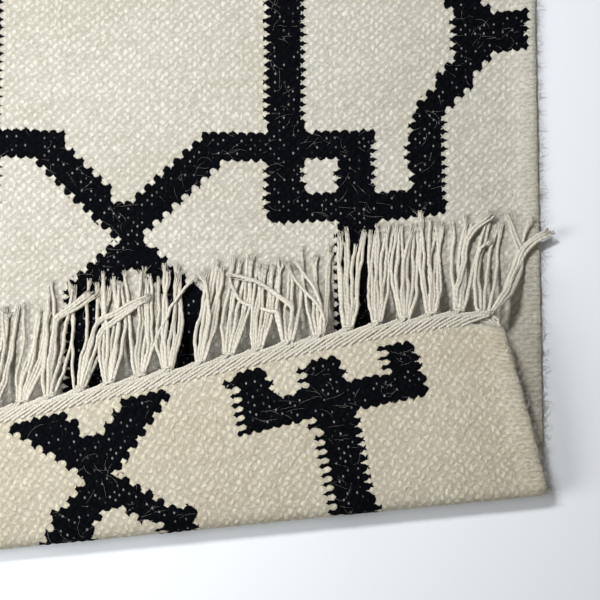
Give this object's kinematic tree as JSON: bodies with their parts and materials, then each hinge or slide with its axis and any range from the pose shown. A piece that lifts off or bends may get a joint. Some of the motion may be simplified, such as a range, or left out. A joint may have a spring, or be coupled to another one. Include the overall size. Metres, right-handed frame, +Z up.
{
  "type": "kilim rug",
  "caption": "Small hand-woven kilim rug in cream wool with black line pattern and knotted cotton fringe, one end folded up over the body, lying flat.",
  "frame": {"origin": "middle of the rug's footprint, on the surface that it lies on", "axes": "+Z up out of the floor, +Y along the rug from the folded end to the flat end, +X across it to the right as seen from the folded end"},
  "size_m": [0.5066, 0.7948, 0.0302],
  "materials": {
    "wool_weave": "matte weft-faced wool weave, cream with black pattern lines, slightly hairy, no gloss",
    "cotton_fringe": "matte twisted cotton yarn, off-white, soft cut ends"
  },
  "bodies": {
    "root": {"kilim_cloth": "wool_weave", "fringe_folded_end": "cotton_fringe", "fringe_flat_end": "cotton_fringe"}
  },
  "joints": []
}
